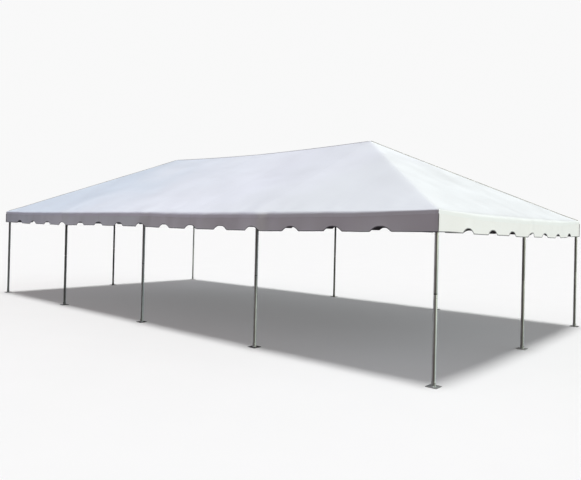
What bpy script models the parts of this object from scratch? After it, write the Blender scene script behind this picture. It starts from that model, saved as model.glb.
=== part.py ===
"""A frame marquee tent, 20 ft by 40 ft: a white hip-roofed canopy with a scalloped valance, stretched over a
frame of aluminium tubes that slip into steel socket fittings, on twelve legs with square base plates.

Metres, +Z up. X runs along the tent, from its left end to its right end, and Y from its front to its back.
The origin is on the ground, under the middle of the ridge.
"""

import math

import bmesh
import bpy
from mathutils import Matrix, Vector

# Driving sizes of the whole tent
BAY = 3.048  # between two neighbouring legs, 10 ft
LONG_BAYS = 4
SHORT_BAYS = 2
EAVE_HEIGHT = 2.134  # top edge of the valance, 7 ft
RIDGE_HEIGHT = 3.610  # outside of the canopy at the ends of the ridge
RIDGE_SAG = 0.060  # how much lower the middle of the ridge hangs

# Canopy
SKIN = 0.005  # the fabric, thicker here than the real vinyl
VALANCE_DROP = 0.268  # from the eave edge to the lowest edge of the scallops
SCALLOPS_PER_BAY = 4
NOTCH_WIDTH = 0.30  # between two scallops, at the bottom edge
NOTCH_DEPTH = 0.075
NOTCH_STEPS = 8  # straight pieces that stand for one notch's curve

# Tubes and the fittings that they slip into
TUBE_RADIUS = 0.0254  # 2 in tube
SOCKET_RADIUS = 0.0305
BORE_RADIUS = 0.0266  # its flats clear the tube's corners
HUB_RADIUS = 0.034  # the ball where a fitting's sockets are welded together
SOCKET_REACH = 0.175  # from the hub's centre to a socket's mouth
BORE_START = 0.085  # from the hub's centre to the end of a bore
ROUND_SIDES = 12
HUB_RINGS = 8

# Legs, each of an upper and a lower tube that slip together, on a base plate
PLATE_SIDE = 0.1524  # 6 in
PLATE_THICKNESS = 0.006
COLLAR_RADIUS = 0.029
COLLAR_HEIGHT = 0.060
JOINT_HEIGHT = 1.115  # middle of the slip joint between the two tubes
JOINT_GAP = 0.014
NECK_RADIUS = 0.024

GAP = 0.0003  # between pieces that touch
WELD = 0.00001  # points closer than this are one
OVERSHOOT = 0.02  # how far a cutter runs past the face that it opens

# Sizes that follow
HALF_LENGTH = LONG_BAYS * BAY / 2
HALF_WIDTH = SHORT_BAYS * BAY / 2
RIDGE_HALF = HALF_LENGTH - HALF_WIDTH
INSIDE = HUB_RADIUS + GAP  # from the frame's centrelines to the fabric's inner face
OUTSIDE = INSIDE + SKIN
PITCH = math.atan2(RIDGE_HEIGHT - EAVE_HEIGHT, HALF_WIDTH + OUTSIDE)
RIDGE_LINE = RIDGE_HEIGHT - OUTSIDE / math.cos(PITCH)  # height of the ridge's centreline at its ends
EAVE_LINE = RIDGE_LINE - HALF_WIDTH * math.tan(PITCH)  # height of the eave rails' centreline
VALANCE_BOTTOM = EAVE_HEIGHT - VALANCE_DROP

LEFT, RIGHT = Vector((-1, 0, 0)), Vector((1, 0, 0))
BACKWARD, DOWN = Vector((0, 1, 0)), Vector((0, 0, -1))


def empty_scene():
    for obj in list(bpy.data.objects):
        bpy.data.objects.remove(obj)


def new_collection(name):
    collection = bpy.data.collections.new(name)
    bpy.context.scene.collection.children.link(collection)
    return collection


def new_material(name, colour, roughness, metallic):
    material = bpy.data.materials.new(name)
    material.use_nodes = True
    shader = material.node_tree.nodes["Principled BSDF"]
    shader.inputs["Base Color"].default_value = (*colour, 1)
    shader.inputs["Roughness"].default_value = roughness
    shader.inputs["Metallic"].default_value = metallic
    return material


empty_scene()
TENT = new_collection("marquee_tent")
CUTTERS = new_collection("cutters")
CUTTERS.hide_render = True
VINYL = new_material("white_vinyl", (0.80, 0.82, 0.84), 0.45, 0.0)
ALUMINIUM = new_material("aluminium_tube", (0.42, 0.43, 0.44), 0.38, 0.9)
ZINCED_STEEL = new_material("zinced_fitting", (0.30, 0.31, 0.32), 0.48, 0.85)


def helper(name, mesh):
    """An object that only shapes others: it isn't rendered and shows as wire."""
    obj = bpy.data.objects.new(name, mesh)
    CUTTERS.objects.link(obj)
    obj.hide_render = True
    obj.display_type = "WIRE"
    return obj


def place(name, mesh, material, location=(0, 0, 0), quarter_turns=0):
    """A piece of the tent, turned about its own vertical axis and moved to its place."""
    piece = bpy.data.objects.new(name, mesh)
    piece.location = location
    piece.rotation_euler.z = quarter_turns * math.pi / 2
    if not mesh.materials:
        mesh.materials.append(material)
    TENT.objects.link(piece)
    return piece


def mesh_of(name, bm):
    mesh = bpy.data.meshes.new(name)
    bmesh.ops.recalc_face_normals(bm, faces=bm.faces)
    bm.to_mesh(mesh)
    bm.free()
    return mesh


def baked(obj, name):
    """The object's mesh with its modifiers applied. The object and its helpers are removed."""
    graph = bpy.context.evaluated_depsgraph_get()
    mesh = bpy.data.meshes.new_from_object(obj.evaluated_get(graph))
    mesh.name = name
    for modifier in obj.modifiers:
        if modifier.type == "BOOLEAN":
            bpy.data.objects.remove(modifier.object)
    bpy.data.objects.remove(obj)
    return mesh


def smooth(mesh, sharp_angle=math.radians(40)):
    mesh.shade_smooth()
    mesh.set_sharp_from_angle(angle=sharp_angle)
    return mesh


def boolean(obj, operation, other):
    modifier = obj.modifiers.new(other.name, "BOOLEAN")
    modifier.operation = operation
    modifier.object = other


def add_cylinder(bm, radius, start, end, sides=ROUND_SIDES):
    """A closed cylinder between two points."""
    axis = end - start
    turn = axis.to_track_quat("Z", "Y").to_matrix().to_4x4()
    bmesh.ops.create_cone(
        bm, cap_ends=True, segments=sides, radius1=radius, radius2=radius, depth=axis.length,
        matrix=Matrix.Translation((start + end) / 2) @ turn,
    )


def add_box(bm, low, high):
    low, high = Vector(low), Vector(high)
    size = Matrix.Diagonal((high - low).to_4d())
    size[3][3] = 1
    bmesh.ops.create_cube(bm, size=1, matrix=Matrix.Translation((low + high) / 2) @ size)


def outline_solid(name, outlines, thickness, frame):
    """Flat outlines with half the thickness on each side of their plane, placed by the frame."""
    curve = bpy.data.curves.new(name, "CURVE")
    curve.dimensions = "2D"
    curve.fill_mode = "BOTH"
    curve.extrude = thickness / 2
    for outline in outlines:
        spline = curve.splines.new("POLY")
        spline.points.add(len(outline) - 1)
        for point, (x, y) in zip(spline.points, outline):
            point.co = (x, y, 0, 1)
        spline.use_cyclic_u = True
    bm = bmesh.new()
    bm.from_mesh(baked(helper(name, curve), name))
    bmesh.ops.remove_doubles(bm, verts=bm.verts, dist=WELD)
    bmesh.ops.transform(bm, matrix=frame, verts=bm.verts)
    return helper(name, mesh_of(name, bm))


# Frame joints: where the centrelines of the tubes meet
def eave_point(x_bays, y_bays):
    return Vector((x_bays * BAY, y_bays * BAY, EAVE_LINE))


def ridge_point(x_bays):
    """The crowns stand at the ends and the middle of the ridge, which sags to the middle one."""
    sag = 0 if x_bays else RIDGE_SAG
    return Vector((x_bays * BAY, 0, RIDGE_LINE - sag))


# Fittings: short sockets welded to a ball, each bored for a tube
def fitting_mesh(name, directions):
    """Sockets along the directions, from a hub at the origin."""
    bm = bmesh.new()
    bmesh.ops.create_uvsphere(bm, u_segments=ROUND_SIDES, v_segments=HUB_RINGS, radius=HUB_RADIUS)
    fitting = helper(name, mesh_of(name, bm))
    for number, direction in enumerate(directions):
        outward = direction.normalized()
        bm = bmesh.new()
        add_cylinder(bm, SOCKET_RADIUS, Vector(), outward * SOCKET_REACH)
        boolean(fitting, "UNION", helper(f"{name}_socket_{number}", mesh_of("socket", bm)))
    for number, direction in enumerate(directions):
        outward = direction.normalized()
        bm = bmesh.new()
        add_cylinder(bm, BORE_RADIUS, outward * BORE_START, outward * (SOCKET_REACH + OVERSHOOT))
        boolean(fitting, "DIFFERENCE", helper(f"{name}_bore_{number}", mesh_of("bore", bm)))
    return smooth(baked(fitting, name))


def eave_fittings():
    """Corner fittings hold two rails, a hip rafter and a leg, and side fittings two rails, a rafter and a
    leg. Each kind is one shape in quarter turns, as it stands at the front or the front left corner."""
    hip = ridge_point(-1) - eave_point(-2, -1)
    corner = fitting_mesh("corner_fitting", [RIGHT, BACKWARD, hip, DOWN])
    side = fitting_mesh("side_fitting", [LEFT, RIGHT, ridge_point(1) - eave_point(1, -1), DOWN])
    middle = fitting_mesh("middle_side_fitting", [LEFT, RIGHT, ridge_point(0) - eave_point(0, -1), DOWN])
    corners = [("front_left", -2, -1), ("front_right", 2, -1), ("back_right", 2, 1), ("back_left", -2, 1)]
    for turns, (where, x_bays, y_bays) in enumerate(corners):
        place(f"corner_fitting_{where}", corner, ZINCED_STEEL, eave_point(x_bays, y_bays), turns)
    for number, x_bays in enumerate((-1, 0, 1), start=2):
        mesh = side if x_bays else middle
        place(f"side_fitting_front_{number}", mesh, ZINCED_STEEL, eave_point(x_bays, -1), 0)
        place(f"side_fitting_back_{number}", mesh, ZINCED_STEEL, eave_point(x_bays, 1), 2)
    place("end_fitting_right", side, ZINCED_STEEL, eave_point(2, 0), 1)
    place("end_fitting_left", side, ZINCED_STEEL, eave_point(-2, 0), 3)


def crown_fittings():
    """The outer crowns hold a ridge tube, two side rafters, two hip rafters and an end rafter, and the
    middle one two ridge tubes and two side rafters."""
    right, middle = ridge_point(1), ridge_point(0)
    right_feet = [eave_point(1, -1), eave_point(1, 1), eave_point(2, 0), eave_point(2, -1), eave_point(2, 1)]
    outer_crown = fitting_mesh("outer_crown", [end - right for end in (middle, *right_feet)])
    middle_ends = [ridge_point(-1), right, eave_point(0, -1), eave_point(0, 1)]
    middle_crown = fitting_mesh("middle_crown", [end - middle for end in middle_ends])
    place("crown_fitting_right", outer_crown, ZINCED_STEEL, right, 0)
    place("crown_fitting_middle", middle_crown, ZINCED_STEEL, middle, 0)
    place("crown_fitting_left", outer_crown, ZINCED_STEEL, ridge_point(-1), 2)


# Tubes between two fittings
def tube(name, start, end):
    """A tube whose ends stand against the ends of the two bores. It is modelled solid."""
    along = (end - start).normalized()
    inset = BORE_START + GAP
    bm = bmesh.new()
    length = (end - start).length - 2 * inset
    add_cylinder(bm, TUBE_RADIUS, Vector((0, 0, -length / 2)), Vector((0, 0, length / 2)))
    piece = place(name, smooth(mesh_of(name, bm)), ALUMINIUM, (start + end) / 2)
    piece.rotation_mode = "QUATERNION"
    piece.rotation_quaternion = along.to_track_quat("Z", "Y")


def eave_rails():
    for number, x_bays in enumerate((-2, -1, 0, 1), start=1):
        tube(f"eave_rail_front_{number}", eave_point(x_bays, -1), eave_point(x_bays + 1, -1))
        tube(f"eave_rail_back_{number}", eave_point(x_bays, 1), eave_point(x_bays + 1, 1))
    for end, x_bays in (("left", -2), ("right", 2)):
        tube(f"eave_rail_{end}_front", eave_point(x_bays, -1), eave_point(x_bays, 0))
        tube(f"eave_rail_{end}_back", eave_point(x_bays, 0), eave_point(x_bays, 1))


def rafters_and_ridge():
    for number, x_bays in enumerate((-1, 0, 1), start=2):
        tube(f"rafter_front_{number}", eave_point(x_bays, -1), ridge_point(x_bays))
        tube(f"rafter_back_{number}", eave_point(x_bays, 1), ridge_point(x_bays))
    for end, side in (("left", -1), ("right", 1)):
        tube(f"hip_rafter_front_{end}", eave_point(2 * side, -1), ridge_point(side))
        tube(f"hip_rafter_back_{end}", eave_point(2 * side, 1), ridge_point(side))
        tube(f"end_rafter_{end}", eave_point(2 * side, 0), ridge_point(side))
        tube(f"ridge_tube_{end}", ridge_point(0), ridge_point(side))


# Legs
def leg_mesh():
    """A base plate with its collar, and the leg's two tubes with the neck that shows in their slip joint.
    The whole leg is turned as one profile, and joined to the square plate."""
    top = EAVE_LINE - BORE_START - GAP
    profile = [
        (0, top),
        (TUBE_RADIUS, top),
        (TUBE_RADIUS, JOINT_HEIGHT + JOINT_GAP / 2),
        (NECK_RADIUS, JOINT_HEIGHT + JOINT_GAP / 2),
        (NECK_RADIUS, JOINT_HEIGHT - JOINT_GAP / 2),
        (TUBE_RADIUS, JOINT_HEIGHT - JOINT_GAP / 2),
        (TUBE_RADIUS, COLLAR_HEIGHT),
        (COLLAR_RADIUS, COLLAR_HEIGHT),
        (COLLAR_RADIUS, PLATE_THICKNESS / 2),
        (0, PLATE_THICKNESS / 2),
    ]
    mesh = bpy.data.meshes.new("leg")
    edges = [(i, i + 1) for i in range(len(profile) - 1)]
    mesh.from_pydata([(radius, 0, height) for radius, height in profile], edges, [])
    leg = helper("leg", mesh)
    turned = leg.modifiers.new("turned", "SCREW")
    turned.steps = turned.render_steps = ROUND_SIDES
    turned.use_merge_vertices = True
    turned.merge_threshold = WELD

    bm = bmesh.new()
    half = PLATE_SIDE / 2
    add_box(bm, (-half, -half, 0), (half, half, PLATE_THICKNESS))
    boolean(leg, "UNION", helper("leg_plate", mesh_of("plate", bm)))
    return smooth(baked(leg, "leg"))


def legs():
    leg = leg_mesh()
    for number, x_bays in enumerate((-2, -1, 0, 1, 2), start=1):
        place(f"leg_front_{number}", leg, ALUMINIUM, (x_bays * BAY, -HALF_WIDTH, 0))
        place(f"leg_back_{number}", leg, ALUMINIUM, (x_bays * BAY, HALF_WIDTH, 0))
    place("leg_left", leg, ALUMINIUM, (-HALF_LENGTH, 0, 0))
    place("leg_right", leg, ALUMINIUM, (HALF_LENGTH, 0, 0))


# Canopy
def half_hip_solid(name, side, offset, bottom):
    """The left or right half of a hip-roofed block: the frame's outline grown by the offset. Its slopes
    fold a little where they dip to the middle of the ridge."""
    eave = EAVE_LINE + offset * (1 / math.cos(PITCH) - math.tan(PITCH))
    lift = Vector((0, 0, offset / math.cos(PITCH)))
    corners = [
        (x, y, z)
        for x in (0, side * (HALF_LENGTH + offset))
        for y in (-HALF_WIDTH - offset, HALF_WIDTH + offset)
        for z in (bottom, eave)
    ]
    ridge = [ridge_point(0) + lift, ridge_point(side) + lift]
    bm = bmesh.new()
    for corner in corners + ridge:
        bm.verts.new(corner)
    bmesh.ops.convex_hull(bm, input=bm.verts)
    return helper(name, mesh_of(name, bm))


def hip_solid(name, offset, bottom):
    """Both halves of the block, welded where they meet under the middle of the ridge."""
    left = half_hip_solid(f"{name}_left", -1, offset, bottom)
    boolean(left, "UNION", half_hip_solid(f"{name}_right", 1, offset, bottom))
    return helper(name, baked(left, name))


def notch_outline(middle):
    """The bell-shaped notch between two scallops, as (along, up) from the valance's bottom edge: one whole
    cosine wave from side to side, closed below the edge."""
    steps = [step / NOTCH_STEPS for step in range(NOTCH_STEPS + 1)]
    bell = [
        (middle + NOTCH_WIDTH * (step - 0.5), NOTCH_DEPTH * (1 - math.cos(2 * math.pi * step)) / 2)
        for step in steps
    ]
    return [*bell, (middle + NOTCH_WIDTH / 2, -OVERSHOOT), (middle - NOTCH_WIDTH / 2, -OVERSHOOT)]


def notch_cutter(name, bays, turn):
    """Notches at every scallop's end but the corners. They run right through the tent, to its far side."""
    count = bays * SCALLOPS_PER_BAY
    spacing = BAY / SCALLOPS_PER_BAY
    outlines = [notch_outline((number - count / 2) * spacing) for number in range(1, count)]
    upright = Matrix.Rotation(turn, 4, "Z") @ Matrix.Rotation(math.pi / 2, 4, "X")
    through = 2 * (HALF_LENGTH + OUTSIDE + OVERSHOOT)
    return outline_solid(name, outlines, through, Matrix.Translation((0, 0, VALANCE_BOTTOM)) @ upright)


def parted(shell, name, plan):
    """The part of the whole canopy that stands over an outline on the ground."""
    height = RIDGE_HEIGHT + OVERSHOOT
    column = outline_solid(f"{name}_plan", [plan], height, Matrix.Translation((0, 0, height / 2)))
    panel = helper(f"canopy_{name}", shell)
    boolean(panel, "INTERSECT", column)
    place(f"canopy_{name}", baked(panel, f"canopy_{name}"), VINYL)


def canopy():
    """The outer block less the inner one is the whole canopy. Its panels part at the hips and the ridge,
    where the real ones are welded together, and each has its slope and its length of valance."""
    shell = hip_solid("canopy", OUTSIDE, VALANCE_BOTTOM)
    boolean(shell, "DIFFERENCE", hip_solid("canopy_inside", INSIDE, VALANCE_BOTTOM - OVERSHOOT))
    boolean(shell, "DIFFERENCE", notch_cutter("long_notches", LONG_BAYS, 0))
    boolean(shell, "DIFFERENCE", notch_cutter("short_notches", SHORT_BAYS, math.pi / 2))
    whole = baked(shell, "canopy")

    far = HALF_WIDTH + OUTSIDE + OVERSHOOT
    for name, side in (("front", -1), ("back", 1)):
        near_edge, far_edge = side * GAP / 2, side * (far + GAP / 2)
        top, eave = RIDGE_HALF, RIDGE_HALF + far
        parted(whole, name, [(-top, near_edge), (top, near_edge), (eave, far_edge), (-eave, far_edge)])
    for name, side in (("left", -1), ("right", 1)):
        tip, eave = side * (RIDGE_HALF + GAP), side * (RIDGE_HALF + GAP + far)
        parted(whole, name, [(tip, 0), (eave, -far), (eave, far)])


legs()
eave_fittings()
crown_fittings()
eave_rails()
rafters_and_ridge()
canopy()
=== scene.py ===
"""The finish of a frame marquee tent, 20 ft by 40 ft: a stretched white vinyl canopy with a scalloped
valance, over aluminium tubes and zinced socket fittings, on twelve legs with square base plates.

Metres, +Z up. X runs along the tent, from its left end to its right end, and Y from its front to its back.
A place on the canopy is given on one of its four sides, as the distance along the eave from the side's
middle, the distance outward from the eave rail's centreline (negative up the slope), and the height.
"""

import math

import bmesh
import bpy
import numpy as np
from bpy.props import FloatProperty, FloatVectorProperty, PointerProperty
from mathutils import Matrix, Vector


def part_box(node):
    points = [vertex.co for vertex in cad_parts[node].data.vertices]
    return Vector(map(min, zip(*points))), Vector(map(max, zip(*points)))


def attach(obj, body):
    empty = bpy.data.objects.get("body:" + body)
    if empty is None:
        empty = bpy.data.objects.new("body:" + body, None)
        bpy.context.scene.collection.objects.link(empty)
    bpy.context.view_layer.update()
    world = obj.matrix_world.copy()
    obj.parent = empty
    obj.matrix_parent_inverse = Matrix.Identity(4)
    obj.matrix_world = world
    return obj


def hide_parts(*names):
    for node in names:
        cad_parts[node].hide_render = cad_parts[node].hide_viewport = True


bl_info = {
    "name": "Frame Marquee Tent",
    "version": (1, 0, 0),
    "blender": (4, 5, 0),
    "location": "3D View > Sidebar > Marquee",
    "description": "Builds a hip-roofed frame marquee tent: canopy, valance, tubes, fittings and legs",
    "category": "Add Mesh",
}

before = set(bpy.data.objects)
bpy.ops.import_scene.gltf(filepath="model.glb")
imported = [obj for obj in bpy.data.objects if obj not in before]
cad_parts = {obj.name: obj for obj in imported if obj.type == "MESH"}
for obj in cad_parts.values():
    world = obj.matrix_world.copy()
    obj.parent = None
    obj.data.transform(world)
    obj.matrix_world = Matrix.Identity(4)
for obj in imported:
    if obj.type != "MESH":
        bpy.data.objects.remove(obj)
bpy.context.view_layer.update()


def node_box(name):
    return np.array([tuple(corner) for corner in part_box(name)])


def node_middle(name):
    return node_box(name).mean(axis=0)


HALF_LENGTH, HALF_WIDTH = (float(size) for size in node_middle("leg_back_5")[:2])
BAY = HALF_WIDTH
RIDGE_HALF = HALF_LENGTH - HALF_WIDTH
EAVE_LINE = float(node_middle("eave_rail_front_1")[2])
TUBE_RADIUS = float(np.ptp(node_box("eave_rail_front_1")[:, 1])) / 2
SOCKET_REACH = EAVE_LINE - float(node_box("corner_fitting_front_left")[0, 2])
RIDGE_TOP = float(node_box("canopy_right")[1, 2])
CANOPY_OFFSET = float(node_box("canopy_right")[1, 0]) - HALF_LENGTH
RIDGE_SAG = float(node_box("crown_fitting_right")[1, 2] - node_box("crown_fitting_middle")[1, 2])
VALANCE_BOTTOM = float(node_box("canopy_front")[0, 2])
PLATE_SIDE = float(np.ptp(node_box("leg_front_1")[:, 0]))
LEG_TOP = float(node_box("leg_front_1")[1, 2])
# A slope's plane runs through the ridge's top and stands off the eave line by the canopy's offset
RISE = RIDGE_TOP - EAVE_LINE
PITCH = math.acos(CANOPY_OFFSET / math.hypot(RISE, HALF_WIDTH)) - math.atan2(HALF_WIDTH, RISE)
RIDGE_LINE = EAVE_LINE + HALF_WIDTH * math.tan(PITCH)

# The sides by their quarter turns from the front
SIDES = {"front": 0, "right": 1, "back": 2, "left": 3}
LONG_SIDES = ("front", "back")
# How slack the fabric lies over each eave rail, at every half bay, as a share of the eave bulge
SLACK = {
    "front": (0.45, 0.90, 1.00, 0.95, 0.90, 1.45, 1.20, 0.80, 0.0),
    "right": (0.0, 1.00, 1.15, 1.05, 0.10),
    "back": (0.10, 0.65, 0.50, 0.80, 0.60, 0.95, 0.55, 0.50, 0.20),
    "left": (0.20, 0.70, 0.50, 0.75, 0.45),
}
# How far each valance's edge hangs below its even line, at every half bay, in metres
HANG = {
    "front": (0.014, 0.039, 0.045, 0.028, 0.030, 0.045, 0.044, 0.021, -0.006),
    "right": (-0.006, 0.023, 0.050, 0.060, 0.036),
    "back": (0.036, 0.020, 0.025, 0.004, -0.007, 0.003, -0.005, -0.022, -0.022),
    "left": (-0.022, -0.017, 0.003, -0.009, 0.014),
}
# How far the roof's fabric laps over each eave rail
LAP = 0.040
# How dull and dark each leg's tubes and base plate are, from 0 to 1: weathering and painted shade
TARNISH_AND_SHADE = {
    "leg_front_1": (0.58, 0.9), "leg_front_2": (0.80, 0.6), "leg_front_3": (0.28, 1.0),
    "leg_front_4": (0.33, 1.0), "leg_front_5": (0.08, 0.3), "leg_right": (0.42, 0.2),
    "leg_back_5": (0.50, 0.5), "leg_back_4": (0.50, 0.5), "leg_back_3": (1.00, 0.4),
    "leg_back_2": (0.50, 0.5), "leg_back_1": (0.35, 0.2), "leg_left": (1.00, 0.9),
}
# Tints of the fabric's colour at places along the tent, from 0 at its left end to 1 at its right end
# They paint light and shade: darker and bluer towards the left end, lighter in the middle.
PAINTED_LIGHT_TINTS = {
    "roof_vinyl": (
        (0.0, (0.84, 0.90, 0.96)), (0.22, (0.865, 0.92, 0.975)), (0.45, (1.01, 1.01, 1.03)),
        (0.65, (1.02, 1.01, 1.03)), (0.86, (0.955, 0.955, 0.94)),
    ),
    "valance_vinyl": (
        (0.0, (0.80, 0.89, 0.955)), (0.13, (0.83, 0.92, 0.985)), (0.27, (1.03, 1.095, 1.14)),
        (0.46, (1.08, 1.16, 1.165)), (0.62, (0.99, 0.985, 1.0)), (0.9, (0.97, 0.96, 0.98)),
    ),
}


# Settings
def amount(name, description, default, **more):
    return FloatProperty(name=name, description=description, default=default, **more)


def metres(name, description, default, **more):
    return amount(name, description, default, unit="LENGTH", **more)


def swatch(name, description, default):
    return FloatVectorProperty(name=name, description=description, default=default, subtype="COLOR")


class CanopySettings(bpy.types.PropertyGroup):
    thickness: metres("Fabric thickness", "Thickness of the coated fabric", 0.0015, min=0.0005)
    standoff: metres("Stand-off at fittings", "From the frame's centrelines to the fabric there", 0.0385)
    tight: metres("Stand-off on rails", "The same between two fittings, where it lies on the rail", 0.0285)
    ridge_curve: amount("Ridge curve", "0 follows the two ridge tubes, 1 is one smooth curve over them", 0.75,
                        min=0.0, max=0.8, subtype="FACTOR")
    overreach: metres("Ridge overreach", "How far the ridge's ends lie beyond the crown fittings", 0.055)
    sag: metres("Slope sag", "How much the slopes and hips sag at half their height", 0.010)
    billow: metres("Bay sag", "How much more the fabric sags in the middle of a bay, between rafters", 0.020)
    wrinkle: metres("Wrinkles", "Height of the small puckers along the eave and at the corners", 0.004)
    bulge: metres("Eave bulge", "How far the fabric bulges out over the rail where its slack is 1", 0.050)
    lap: metres("Lap", "How far the roof's fabric hangs over the rail before the valance begins", LAP)
    hip_round: metres("Hip rounding", "Width of the rounding on each side of a hip, halfway up", 0.085)
    seam_height: metres("Standing seam", "Height on the hips of the seam that joins the roof's halves", 0.016)
    ridge_seam_height: metres("Standing seam, ridge", "Height of the same seam on the ridge", 0.009)
    seam_spacing: metres("Seam spacing", "Width of the fabric's strips, between welded seams", 1.524)
    scallop: metres("Scallop", "Width of one scallop of the valance", BAY / 4)
    notch_width: metres("Notch width", "Width of the notch between two scallops, at the edge", 0.32)
    notch_depth: metres("Notch depth", "Height of a notch, from the edge to its top", 0.066)
    binding: metres("Edge binding", "Height of the tape that binds the valance's lower edge", 0.011)
    roof_colour: swatch("Roof", "Outer face of the roof's fabric", (0.88, 0.88, 0.92))
    # Set darker than the roof's fabric, as painted shade on the upright valance.
    valance_colour: swatch("Valance", "Outer face of the valance's fabric", (0.765, 0.757, 0.753))
    # The lining's dark grey is painted shade inside the tent.
    lining_shade_colour: swatch("Lining", "Inner face of the fabric", (0.11, 0.11, 0.12))
    seam_colour: swatch("Seam", "Tape over the standing seam", (0.50, 0.49, 0.49))
    binding_colour: swatch("Binding", "Tape along the valance's lower edge", (0.20, 0.20, 0.21))


class FrameSettings(bpy.types.PropertyGroup):
    socket_radius: metres("Socket radius", "Outer radius of a fitting's sockets", 0.0305)
    bore_radius: metres("Bore radius", "Inner radius of a fitting's sockets", 0.0266)
    hub_radius: metres("Hub radius", "Ball that a fitting's sockets are welded to", 0.034)
    bore_start: metres("Bore start", "From the hub's centre to the end of a tube", 0.0853)
    plate_thickness: metres("Plate thickness", "Thickness of a base plate", 0.006)
    collar_height: metres("Collar height", "Height of the collar that holds a leg", 0.060)
    joint_height: metres("Slip joint height", "Middle of the joint between a leg's two tubes", 1.115)
    aluminium_colour: swatch("Aluminium", "Tubes of the frame", (0.49, 0.51, 0.48))
    steel_colour: swatch("Zinced steel", "Socket fittings", (0.40, 0.41, 0.42))
    # The plates' dark colour is partly painted shade.
    plate_colour: swatch("Base plates", "Steel that has weathered dark", (0.030, 0.030, 0.032))


class StageSettings(bpy.types.PropertyGroup):
    floor_colour: swatch("Floor", "Plain pale floor", (0.865, 0.870, 0.865))
    overhead_light: amount("Overhead light", "Strength of the soft light from above", 2.64)
    key_light: amount("Key light", "Strength of the light from the right", 2.1)
    floor_light: amount("Floor light", "Light on the floor that the tent shades", 2.2)
    floor_fill: amount("Floor fill", "Light on the floor that nothing shades", 0.6)
    ambient: swatch("Ambient light", "Light from all round", (0.078, 0.054, 0.048))
    right: swatch("Light from the right", "Added towards the tent's right", (0.95, 1.13, 1.22))
    left: swatch("Light from the left", "Added towards the tent's left", (0.60, 0.58, 0.68))
    backdrop: amount("Backdrop", "Brightness of the plain background", 0.945)


# Meshes worked out as whole arrays
TURN = 2 * math.pi


def gridded(points, texture, slot=0):
    """One surface: its points (rows, columns, 3), the quads between them, its texture places (rows,
    columns, 2) and a material slot. A face points along its columns' direction crossed with its rows'."""
    rows, columns = points.shape[:2]
    corner = np.arange(rows - 1)[:, None] * columns + np.arange(columns - 1)[None, :]
    quads = np.stack([corner, corner + 1, corner + columns + 1, corner + columns], axis=-1)
    return points.reshape(-1, 3), quads.reshape(-1, 4), texture.reshape(-1, 2), slot


def mesh_piece(name, surfaces, materials, sharp=38):
    """An object made of several surfaces, with sharp edges above an angle in degrees. Points that lie on each
    other are merged, which closes poles and the line where a turned surface meets itself."""
    points, quads, texture, slots = zip(*surfaces)
    slots = np.repeat(slots, [len(part) for part in quads])
    starts = np.cumsum([0] + [len(part) for part in points[:-1]])
    quads = np.concatenate([part + start for part, start in zip(quads, starts)])
    points, texture = np.concatenate(points), np.concatenate(texture)

    mesh = bpy.data.meshes.new(name)
    mesh.vertices.add(len(points))
    mesh.vertices.foreach_set("co", points.ravel())
    mesh.loops.add(quads.size)
    mesh.loops.foreach_set("vertex_index", quads.ravel())
    mesh.polygons.add(len(quads))
    mesh.polygons.foreach_set("loop_start", np.arange(0, quads.size, 4))
    mesh.polygons.foreach_set("material_index", slots)
    mesh.uv_layers.new(name="UVMap").data.foreach_set("uv", texture[quads].ravel())
    mesh.update(calc_edges=True)

    bm = bmesh.new()
    bm.from_mesh(mesh)
    bmesh.ops.remove_doubles(bm, verts=bm.verts, dist=2e-6)
    bmesh.ops.dissolve_degenerate(bm, edges=bm.edges, dist=1e-7)
    bm.to_mesh(mesh)
    bm.free()
    mesh.shade_smooth()
    mesh.set_sharp_from_angle(angle=math.radians(sharp))
    for material in materials:
        mesh.materials.append(material)
    piece = bpy.data.objects.new(name, mesh)
    bpy.context.scene.collection.objects.link(piece)
    return piece


def tent_piece(name, surfaces, materials, slot, *nodes, sharp=38):
    """A piece of the tent, which has one body. It has these materials by name and stands for these nodes. Its
    slot is not used."""
    piece = mesh_piece(name, surfaces, [made(material) for material in materials], sharp)
    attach(piece, "root")
    if nodes:
        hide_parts(*nodes)
    return piece


def unit(vectors):
    return vectors / np.linalg.norm(vectors, axis=-1, keepdims=True)


def run_length(points):
    """Distance along a line of points, from the first to each of them."""
    return np.concatenate([[0], np.cumsum(np.linalg.norm(np.diff(points, axis=0), axis=1))])


def mirrored(half):
    return [(-x, y) for x, y in reversed(half)]


def eased(corners, radius, steps=3):
    """A profile with its inner corners eased: each becomes the quadratic curve from the point one radius
    before it to the point one radius after it, or halfway to the next corner if that is nearer."""
    points = np.asarray(corners, float)
    middle = points[1:-1]

    def towards(others):
        gap = others - middle
        length = np.linalg.norm(gap, axis=1, keepdims=True)
        return middle + gap * np.minimum(radius, length / 2) / length

    before, after = towards(points[:-2])[:, None], towards(points[2:])[:, None]
    t = np.linspace(0, 1, steps + 1)[None, :, None]
    curves = (1 - t) ** 2 * before + 2 * t * (1 - t) * middle[:, None] + t ** 2 * after
    return np.vstack([points[:1], curves.reshape(-1, 2), points[-1:]])


def rod(radius, start, end, easing, inner=(0, 0)):
    """Profile of a round rod with eased ends, which begins and ends at its axis or at an inner radius."""
    return eased([(inner[0], start), (radius, start), (radius, end), (inner[1], end)], easing)


def across(axis):
    """Two unit vectors square to an axis and to each other. The first is level."""
    level = np.cross(axis, (0.0, 0.0, 1.0))
    if np.linalg.norm(level) < 1e-6:
        level = np.array((1.0, 0.0, 0.0))
    level = unit(level)
    return level, np.cross(axis, level)


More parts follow.
